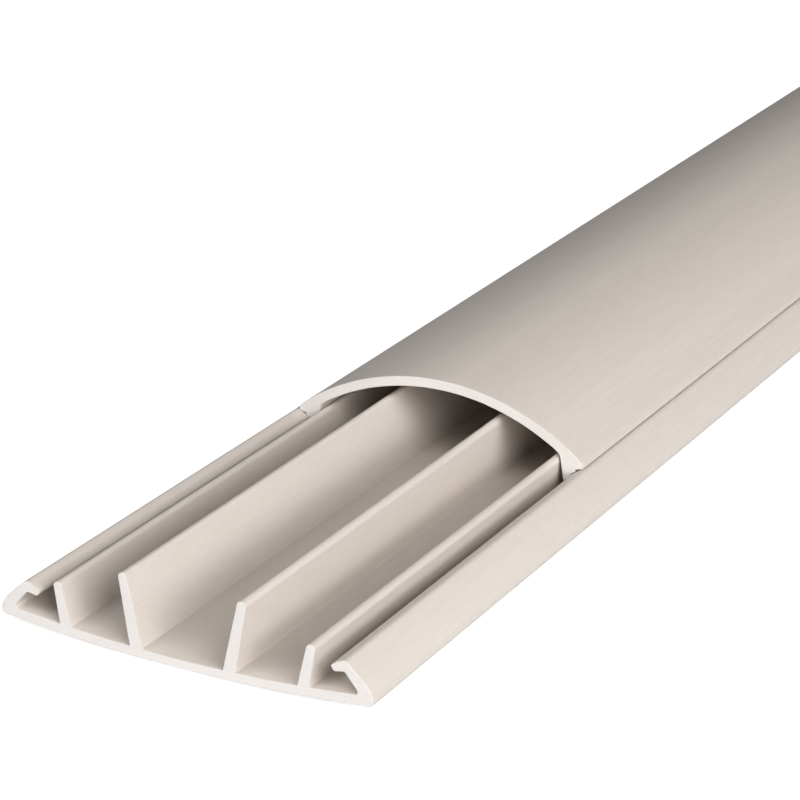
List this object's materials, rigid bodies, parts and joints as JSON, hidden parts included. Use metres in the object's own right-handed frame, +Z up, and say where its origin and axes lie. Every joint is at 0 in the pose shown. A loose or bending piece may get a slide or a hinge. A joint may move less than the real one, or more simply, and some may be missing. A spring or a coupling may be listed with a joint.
{
  "type": "floor cord cover",
  "caption": "Floor cord cover: a low plastic base channel with upright ribs that part the cords, closed by a domed cover whose legs clip under its side lips.",
  "frame": {"origin": "on the underside of the base channel, on the flat strip it lies on, at the middle of the base's width and of its length", "axes": "+X across the section, +Y along the stock away from the end where the cover is pushed back, +Z up from the floor"},
  "size_m": [0.075, 1.0955, 0.0217],
  "materials": {
    "base_plastic": "satin, warm light grey, as extruded, with paler sawn ends",
    "cover_plastic": "satin, warm light grey, as extruded, with paler sawn ends"
  },
  "bodies": {
    "base": {"base_channel": "base_plastic"},
    "cover": {"domed_cover": "cover_plastic"}
  },
  "joints": [
    {"name": "cover_slide", "type": "slide", "parent": "base", "child": "cover", "axis": [0, 1, 0], "range_m": [-0.0955, 0.4]}
  ]
}
